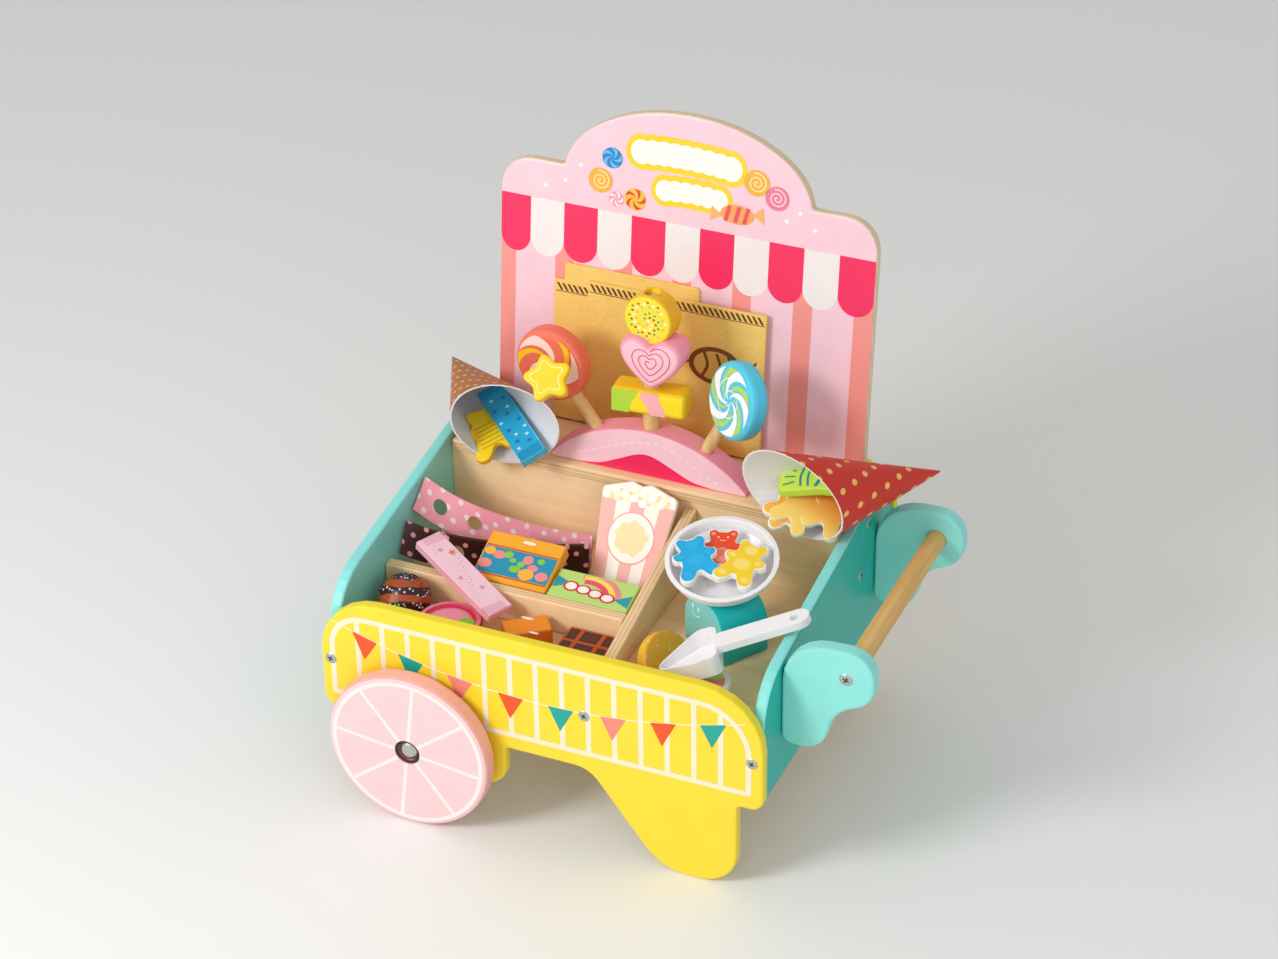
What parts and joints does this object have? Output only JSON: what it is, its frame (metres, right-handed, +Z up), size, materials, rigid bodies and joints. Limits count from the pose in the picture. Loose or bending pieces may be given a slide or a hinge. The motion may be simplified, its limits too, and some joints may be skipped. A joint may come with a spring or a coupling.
{
  "type": "toy candy cart",
  "caption": "Wooden toy candy cart: a crate on two wheels and feet with a handle, awning board, lollipop stand, paper cones, a scale and loose toy sweets.",
  "frame": {"origin": "centre of the whole model's box in X and Y, on the surface it stands on", "axes": "+X towards the handle end, +Y from the front panel to the leaning board, +Z up"},
  "size_m": [0.433, 0.3156, 0.4479],
  "materials": {
    "amber_painted_wood": "satin paint",
    "aqua_painted_wood": "satin paint",
    "bare_plywood": "natural, lightly sanded",
    "beech_dowel": "natural, lightly sanded",
    "beech_stick": "natural, lightly sanded",
    "blue_gummy_paint": "satin paint",
    "blue_printed_wood": "satin paint",
    "brown_printed_paper": "printed paper",
    "chocolate_dotted_wood": "satin paint",
    "cocoa_paint": "satin paint",
    "coral_painted_wood": "satin paint",
    "crimson_tin_paint": "satin paint",
    "golden_box_paint": "satin paint",
    "green_painted_wood": "satin paint",
    "grey_nylon": "satin paint",
    "kraft_paper": "printed paper",
    "lime_box_paint": "satin paint",
    "lime_painted_plywood": "natural, lightly sanded",
    "orange_box_paint": "satin paint",
    "orange_gummy_paint": "satin paint",
    "pale_pink_box_paint": "satin paint",
    "pink_dotted_wood": "satin paint",
    "pink_heart_paint": "satin paint",
    "pink_painted_plywood": "natural, lightly sanded",
    "pink_painted_wood": "satin paint",
    "popcorn_card_paint": "satin paint",
    "red_gummy_paint": "satin paint",
    "red_printed_paper": "printed paper",
    "rose_painted_wood": "satin paint",
    "sky_blue_painted_wood": "satin paint",
    "sugared_slice_paint": "satin paint",
    "teal_painted_plywood": "natural, lightly sanded",
    "turquoise_painted_wood": "satin paint",
    "white_plastic": "satin paint",
    "white_tub_paint": "satin paint",
    "yellow_gummy_paint": "satin paint",
    "yellow_painted_plywood": "natural, lightly sanded",
    "yellow_painted_wood": "satin paint",
    "zinc_plated_steel": "zinc plated"
  },
  "bodies": {
    "cart": {"floor_board": "bare_plywood", "front_panel": "yellow_painted_plywood", "rear_panel": "lime_painted_plywood", "left_end_panel": "teal_painted_plywood", "right_end_panel": "teal_painted_plywood", "riser_board": "bare_plywood", "display_shelf": "bare_plywood", "back_board": "pink_painted_plywood", "long_divider": "bare_plywood", "cross_divider": "bare_plywood", "lolly_stand": "rose_painted_wood", "front_handle_bracket": "aqua_painted_wood", "rear_handle_bracket": "aqua_painted_wood", "handle_dowel": "beech_dowel", "front_wheel_bolt": "zinc_plated_steel", "rear_wheel_bolt": "zinc_plated_steel", "front_wheel_washer": "grey_nylon", "rear_wheel_washer": "grey_nylon"},
    "front_wheel": {"front_wheel": "pink_painted_wood"},
    "rear_wheel": {"rear_wheel": "pink_painted_wood"},
    "left_lolly": {"left_lolly_disc": "coral_painted_wood", "left_lolly_stick": "beech_stick"},
    "right_lolly": {"right_lolly_disc": "sky_blue_painted_wood", "right_lolly_stick": "beech_stick"},
    "skewer": {"skewer_stick": "beech_stick"},
    "nougat": {"nougat_block": "yellow_painted_wood"},
    "heart": {"heart_roll": "pink_heart_paint"},
    "gumdrop": {"gumdrop": "amber_painted_wood"},
    "rear_bag": {"rear_bag": "kraft_paper"},
    "front_bag": {"front_bag": "kraft_paper"},
    "left_cone": {"left_cone": "brown_printed_paper"},
    "star": {"star_candy": "amber_painted_wood"},
    "blue_gum": {"blue_gum": "blue_printed_wood"},
    "bear_wafer": {"bear_wafer": "amber_painted_wood"},
    "right_cone": {"right_cone": "red_printed_paper"},
    "left_gummy": {"left_gummy": "orange_gummy_paint"},
    "right_gummy": {"right_gummy": "orange_gummy_paint"},
    "upper_gummy": {"upper_gummy": "orange_gummy_paint"},
    "green_candy": {"green_candy": "green_painted_wood"},
    "pink_strip": {"pink_strip": "pink_dotted_wood"},
    "brown_strip": {"brown_strip": "chocolate_dotted_wood"},
    "popcorn_card": {"popcorn_card": "popcorn_card_paint"},
    "yellow_box": {"yellow_box": "golden_box_paint"},
    "green_box": {"green_box": "lime_box_paint"},
    "pink_gum": {"pink_gum": "pale_pink_box_paint"},
    "chocolate_egg": {"chocolate_egg": "cocoa_paint"},
    "candy_tin": {"candy_tin": "crimson_tin_paint"},
    "caramel_box": {"caramel_box": "orange_box_paint"},
    "chocolate_bar": {"chocolate_bar": "cocoa_paint"},
    "scale": {"scale_body": "turquoise_painted_wood"},
    "scale_bowl": {"scale_bowl": "white_plastic"},
    "blue_bear": {"blue_bear": "blue_gummy_paint"},
    "yellow_bear": {"yellow_bear": "yellow_gummy_paint"},
    "red_bear": {"red_bear": "red_gummy_paint"},
    "sugared_slice": {"sugared_slice": "sugared_slice_paint"},
    "scoop": {"scoop": "white_plastic"},
    "candy_tub": {"candy_tub": "white_tub_paint"}
  },
  "joints": [
    {"name": "front_wheel_spin", "type": "hinge", "parent": "cart", "child": "front_wheel", "pos_m": [-0.11403, -0.1455, 0.06325], "axis": [0, 1, 0], "continuous": true},
    {"name": "rear_wheel_spin", "type": "hinge", "parent": "cart", "child": "rear_wheel", "pos_m": [-0.11403, 0.1455, 0.06325], "axis": [0, 1, 0], "continuous": true},
    {"name": "left_lolly_lift", "type": "slide", "parent": "cart", "child": "left_lolly", "axis": [-0.6363, 0.0872, 0.7665], "range_m": [0, 0.045]},
    {"name": "right_lolly_lift", "type": "slide", "parent": "cart", "child": "right_lolly", "axis": [0.4661, -0.0872, 0.8804], "range_m": [0, 0.045]},
    {"name": "skewer_lift", "type": "slide", "parent": "cart", "child": "skewer", "axis": [0, 0.0506, 0.9987], "range_m": [0, 0.04]},
    {"name": "nougat_slide", "type": "slide", "parent": "skewer", "child": "nougat", "axis": [0, 0.0506, 0.9987], "range_m": [0, 0.012]},
    {"name": "heart_slide", "type": "slide", "parent": "nougat", "child": "heart", "axis": [0, 0.0506, 0.9987], "range_m": [0, 0.03]},
    {"name": "gumdrop_slide", "type": "slide", "parent": "heart", "child": "gumdrop", "axis": [0, 0.0506, 0.9987], "range_m": [0, 0.045]},
    {"name": "rear_bag_lift", "type": "slide", "parent": "cart", "child": "rear_bag", "axis": [0, 0.1057, 0.9944], "range_m": [0, 0.14]},
    {"name": "front_bag_lift", "type": "slide", "parent": "cart", "child": "front_bag", "axis": [0, 0.1057, 0.9944], "range_m": [0, 0.14]},
    {"name": "left_cone_lift", "type": "slide", "parent": "cart", "child": "left_cone", "axis": [-0.3489, 0, 0.9371], "range_m": [0, 0.1]},
    {"name": "star_lift", "type": "slide", "parent": "left_cone", "child": "star", "axis": [0, -0.3489, 0.9371], "range_m": [0, 0.05]},
    {"name": "blue_gum_slide", "type": "slide", "parent": "left_cone", "child": "blue_gum", "axis": [0.6644, -0.7349, 0.1359], "range_m": [0, 0.075]},
    {"name": "bear_wafer_slide", "type": "slide", "parent": "left_cone", "child": "bear_wafer", "axis": [0.6644, -0.7349, 0.1359], "range_m": [0, 0.05]},
    {"name": "right_cone_lift", "type": "slide", "parent": "cart", "child": "right_cone", "axis": [0.3489, 0, 0.9371], "range_m": [0, 0.1]},
    {"name": "green_candy_slide", "type": "slide", "parent": "upper_gummy", "child": "green_candy", "axis": [-0.1561, -0.8853, 0.4381], "range_m": [0, 0.03]},
    {"name": "upper_gummy_slide", "type": "slide", "parent": "left_gummy", "child": "upper_gummy", "axis": [-0.1561, -0.8853, 0.4381], "range_m": [0, 0.03]},
    {"name": "left_gummy_slide", "type": "slide", "parent": "right_cone", "child": "left_gummy", "axis": [-0.1561, -0.8853, 0.4381], "range_m": [0, 0.03]},
    {"name": "right_gummy_slide", "type": "slide", "parent": "right_cone", "child": "right_gummy", "axis": [-0.1679, -0.9557, 0.2419], "range_m": [0, 0.03]},
    {"name": "pink_strip_lift", "type": "slide", "parent": "cart", "child": "pink_strip", "axis": [0, 0, 1], "range_m": [0, 0.08]},
    {"name": "brown_strip_lift", "type": "slide", "parent": "cart", "child": "brown_strip", "axis": [0, 0, 1], "range_m": [0, 0.08]},
    {"name": "yellow_box_lift", "type": "slide", "parent": "brown_strip", "child": "yellow_box", "axis": [0, 0.3011, 0.9536], "range_m": [0, 0.04]},
    {"name": "popcorn_card_lift", "type": "slide", "parent": "cart", "child": "popcorn_card", "axis": [0, 0, 1], "range_m": [0, 0.09]},
    {"name": "green_box_lift", "type": "slide", "parent": "cart", "child": "green_box", "axis": [0, 0, 1], "range_m": [0, 0.06]},
    {"name": "pink_gum_lift", "type": "slide", "parent": "candy_tin", "child": "pink_gum", "axis": [0, 0, 1], "range_m": [0, 0.06]},
    {"name": "chocolate_egg_lift", "type": "slide", "parent": "cart", "child": "chocolate_egg", "axis": [0, 0, 1], "range_m": [0, 0.06]},
    {"name": "candy_tin_lift", "type": "slide", "parent": "cart", "child": "candy_tin", "axis": [0, 0, 1], "range_m": [0, 0.04]},
    {"name": "caramel_box_lift", "type": "slide", "parent": "cart", "child": "caramel_box", "axis": [0, 0, 1], "range_m": [0, 0.03]},
    {"name": "chocolate_bar_lift", "type": "slide", "parent": "cart", "child": "chocolate_bar", "axis": [0, 0, 1], "range_m": [0, 0.05]},
    {"name": "scale_lift", "type": "slide", "parent": "cart", "child": "scale", "axis": [0, 0, 1], "range_m": [0, 0.035]},
    {"name": "scale_bowl_lift", "type": "slide", "parent": "scale", "child": "scale_bowl", "axis": [0, 0, 1], "range_m": [0, 0.03]},
    {"name": "blue_bear_lift", "type": "slide", "parent": "scale_bowl", "child": "blue_bear", "axis": [0.05, -0.2521, 0.9664], "range_m": [0, 0.03]},
    {"name": "yellow_bear_lift", "type": "slide", "parent": "scale_bowl", "child": "yellow_bear", "axis": [0.05, -0.2521, 0.9664], "range_m": [0, 0.03]},
    {"name": "red_bear_lift", "type": "slide", "parent": "scale_bowl", "child": "red_bear", "axis": [0.05, -0.2521, 0.9664], "range_m": [0, 0.03]},
    {"name": "sugared_slice_lift", "type": "slide", "parent": "cart", "child": "sugared_slice", "axis": [0, 0, 1], "range_m": [0, 0.03]},
    {"name": "candy_tub_lift", "type": "slide", "parent": "cart", "child": "candy_tub", "axis": [0, 0, 1], "range_m": [0, 0.06]},
    {"name": "scoop_lift", "type": "slide", "parent": "candy_tub", "child": "scoop", "axis": [0, 0, 1], "range_m": [0, 0.05]}
  ]
}
